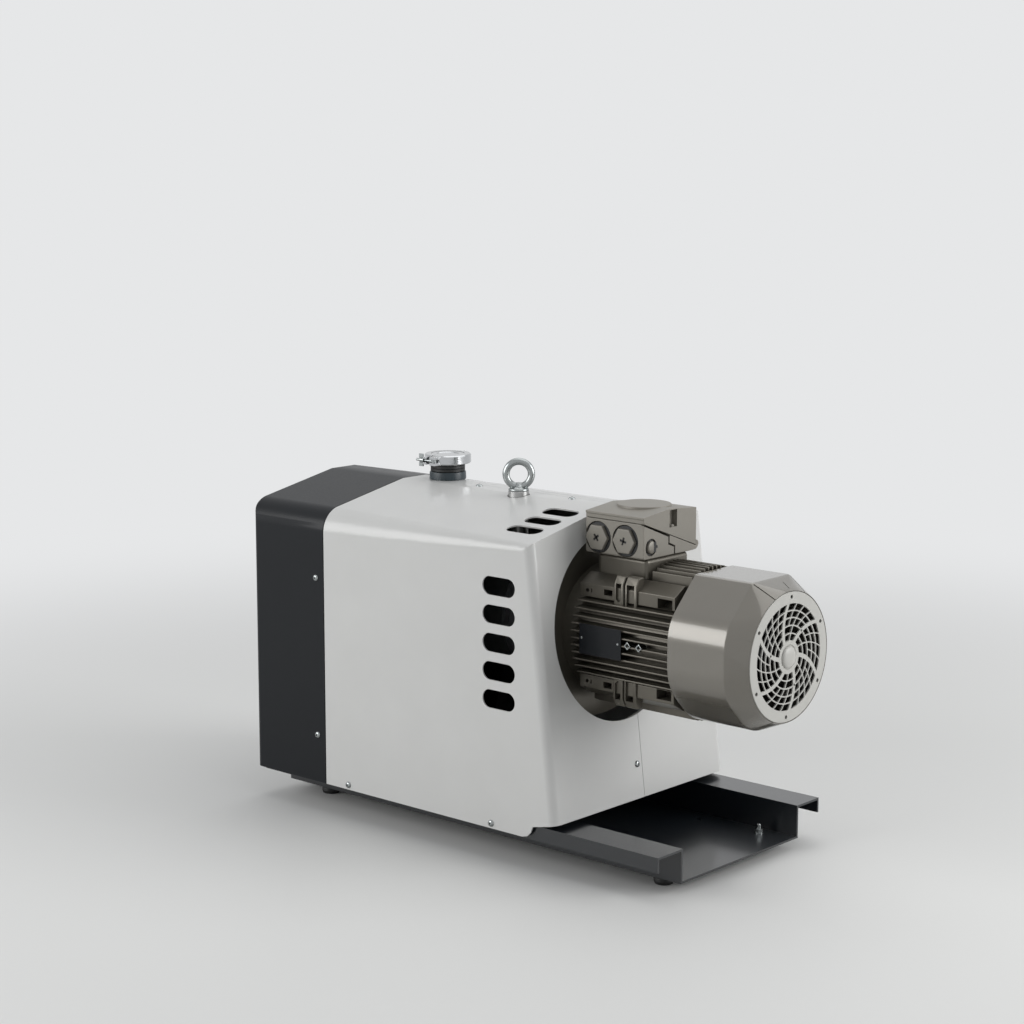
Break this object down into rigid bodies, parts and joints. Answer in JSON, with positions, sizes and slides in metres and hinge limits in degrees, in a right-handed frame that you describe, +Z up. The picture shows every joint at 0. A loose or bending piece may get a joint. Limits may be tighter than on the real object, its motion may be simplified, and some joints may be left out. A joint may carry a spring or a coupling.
{
  "type": "claw vacuum pump",
  "caption": "Dry claw vacuum pump under a white sheet hood with a dark rear cover, driven by a finned flange motor, on a dark folded tray with rubber feet.",
  "frame": {"origin": "bottom centre of the bounding box, on the floor under the rubber feet", "axes": "+X along the motor shaft from the dark rear cover to the fan cowl, +Y across toward the side away from the picture, +Z up"},
  "size_m": [0.8312, 0.3722, 0.5168],
  "materials": {
    "white_powder_coat": "gloss",
    "anthracite_powder_coat": "satin",
    "stone_grey_paint": "satin",
    "light_grey_plastic": "satin",
    "grey_cast_iron": "as cast",
    "cast_aluminium": "as cast",
    "turned_steel": "machined",
    "zinc_plated_steel": "bright",
    "polished_aluminium": "polished",
    "electrical_steel": "matte",
    "varnished_copper": "gloss",
    "black_rubber": "matte",
    "red_elastomer": "matte",
    "black_plastic": "matte",
    "clear_glass": "clear",
    "spring_steel": "drawn"
  },
  "bodies": {
    "pump": {"base_tray": "anthracite_powder_coat", "rubber_feet": "black_rubber", "foot_studs": "zinc_plated_steel", "panel_screws": "zinc_plated_steel", "hood_near_half": "white_powder_coat", "hood_far_half": "white_powder_coat", "rear_cover": "anthracite_powder_coat", "seam_gasket": "black_rubber", "rotor_housing": "grey_cast_iron", "end_plate": "grey_cast_iron", "housing_bolts": "turned_steel", "gear_housing": "grey_cast_iron", "gear_cover": "grey_cast_iron", "sight_glass": "clear_glass", "pump_bearings": "turned_steel", "shaft_seals": "black_rubber", "bell_housing": "cast_aluminium", "drive_end_shield": "stone_grey_paint", "motor_housing": "stone_grey_paint", "fan_end_shield": "stone_grey_paint", "stator_core": "electrical_steel", "stator_windings": "varnished_copper", "motor_bearings": "turned_steel", "fan_cowl": "stone_grey_paint", "fan_grille": "light_grey_plastic", "terminal_box": "stone_grey_paint", "terminal_lid": "stone_grey_paint", "terminal_board": "black_plastic", "blanking_plugs": "stone_grey_paint", "slotted_plug": "zinc_plated_steel", "inlet_pipe": "turned_steel", "valve_spring": "spring_steel", "inlet_sleeve": "black_rubber", "centring_ring": "turned_steel", "seal_ring": "black_rubber", "blank_flange": "polished_aluminium", "clamp_fixed_half": "polished_aluminium", "lifting_post": "turned_steel", "eyebolt": "zinc_plated_steel", "pump_cradle": "anthracite_powder_coat", "silencer_shell": "turned_steel", "silencer_core": "turned_steel"},
    "drive_train": {"drive_shaft": "turned_steel", "drive_claw": "grey_cast_iron", "drive_gear": "turned_steel", "drive_hub": "cast_aluminium", "coupling_spider": "red_elastomer", "motor_hub": "cast_aluminium", "motor_shaft": "turned_steel", "motor_rotor": "electrical_steel", "cooling_fan": "black_plastic"},
    "driven_train": {"driven_shaft": "turned_steel", "driven_claw": "grey_cast_iron", "driven_gear": "turned_steel"},
    "valve": {"valve_plate": "cast_aluminium"},
    "clamp_right": {"clamp_swing_half": "polished_aluminium", "clamp_pins": "turned_steel"},
    "swing_bolt": {"clamp_bolt": "zinc_plated_steel"},
    "nut": {"wing_nut": "zinc_plated_steel"}
  },
  "joints": [
    {"name": "motor_spin", "type": "hinge", "parent": "pump", "child": "drive_train", "pos_m": [0, -0.0235, 0.3061], "axis": [1, 0, 0], "continuous": true},
    {"name": "driven_spin", "type": "hinge", "parent": "pump", "child": "driven_train", "pos_m": [-0.1, 0.0605, 0.3061], "axis": [1, 0, 0], "continuous": true},
    {"name": "valve_lift", "type": "slide", "parent": "pump", "child": "valve", "axis": [0, 0, -1], "range_m": [0, 0.012], "stiffness_N_per_m": 200, "springref_m": -0.01, "deforming": ["valve_spring"]},
    {"name": "clamp_open", "type": "hinge", "parent": "pump", "child": "clamp_right", "pos_m": [-0.218, 0.0541, 0.4955], "axis": [0, 0, 1], "range_deg": [0, 6]},
    {"name": "bolt_swing", "type": "hinge", "parent": "clamp_right", "child": "swing_bolt", "pos_m": [-0.209, -0.0201, 0.4955], "axis": [0, 0, 1], "range_deg": [0, 100]},
    {"name": "nut_travel", "type": "slide", "parent": "swing_bolt", "child": "nut", "axis": [-1, 0, 0], "range_m": [0, 0.0085]}
  ],
  "couplings": [
    {"joint": "driven_spin", "follows": "motor_spin", "ratio": -1},
    {"joint": "nut_travel", "follows": "clamp_open", "m_per_rad": 0.08}
  ]
}
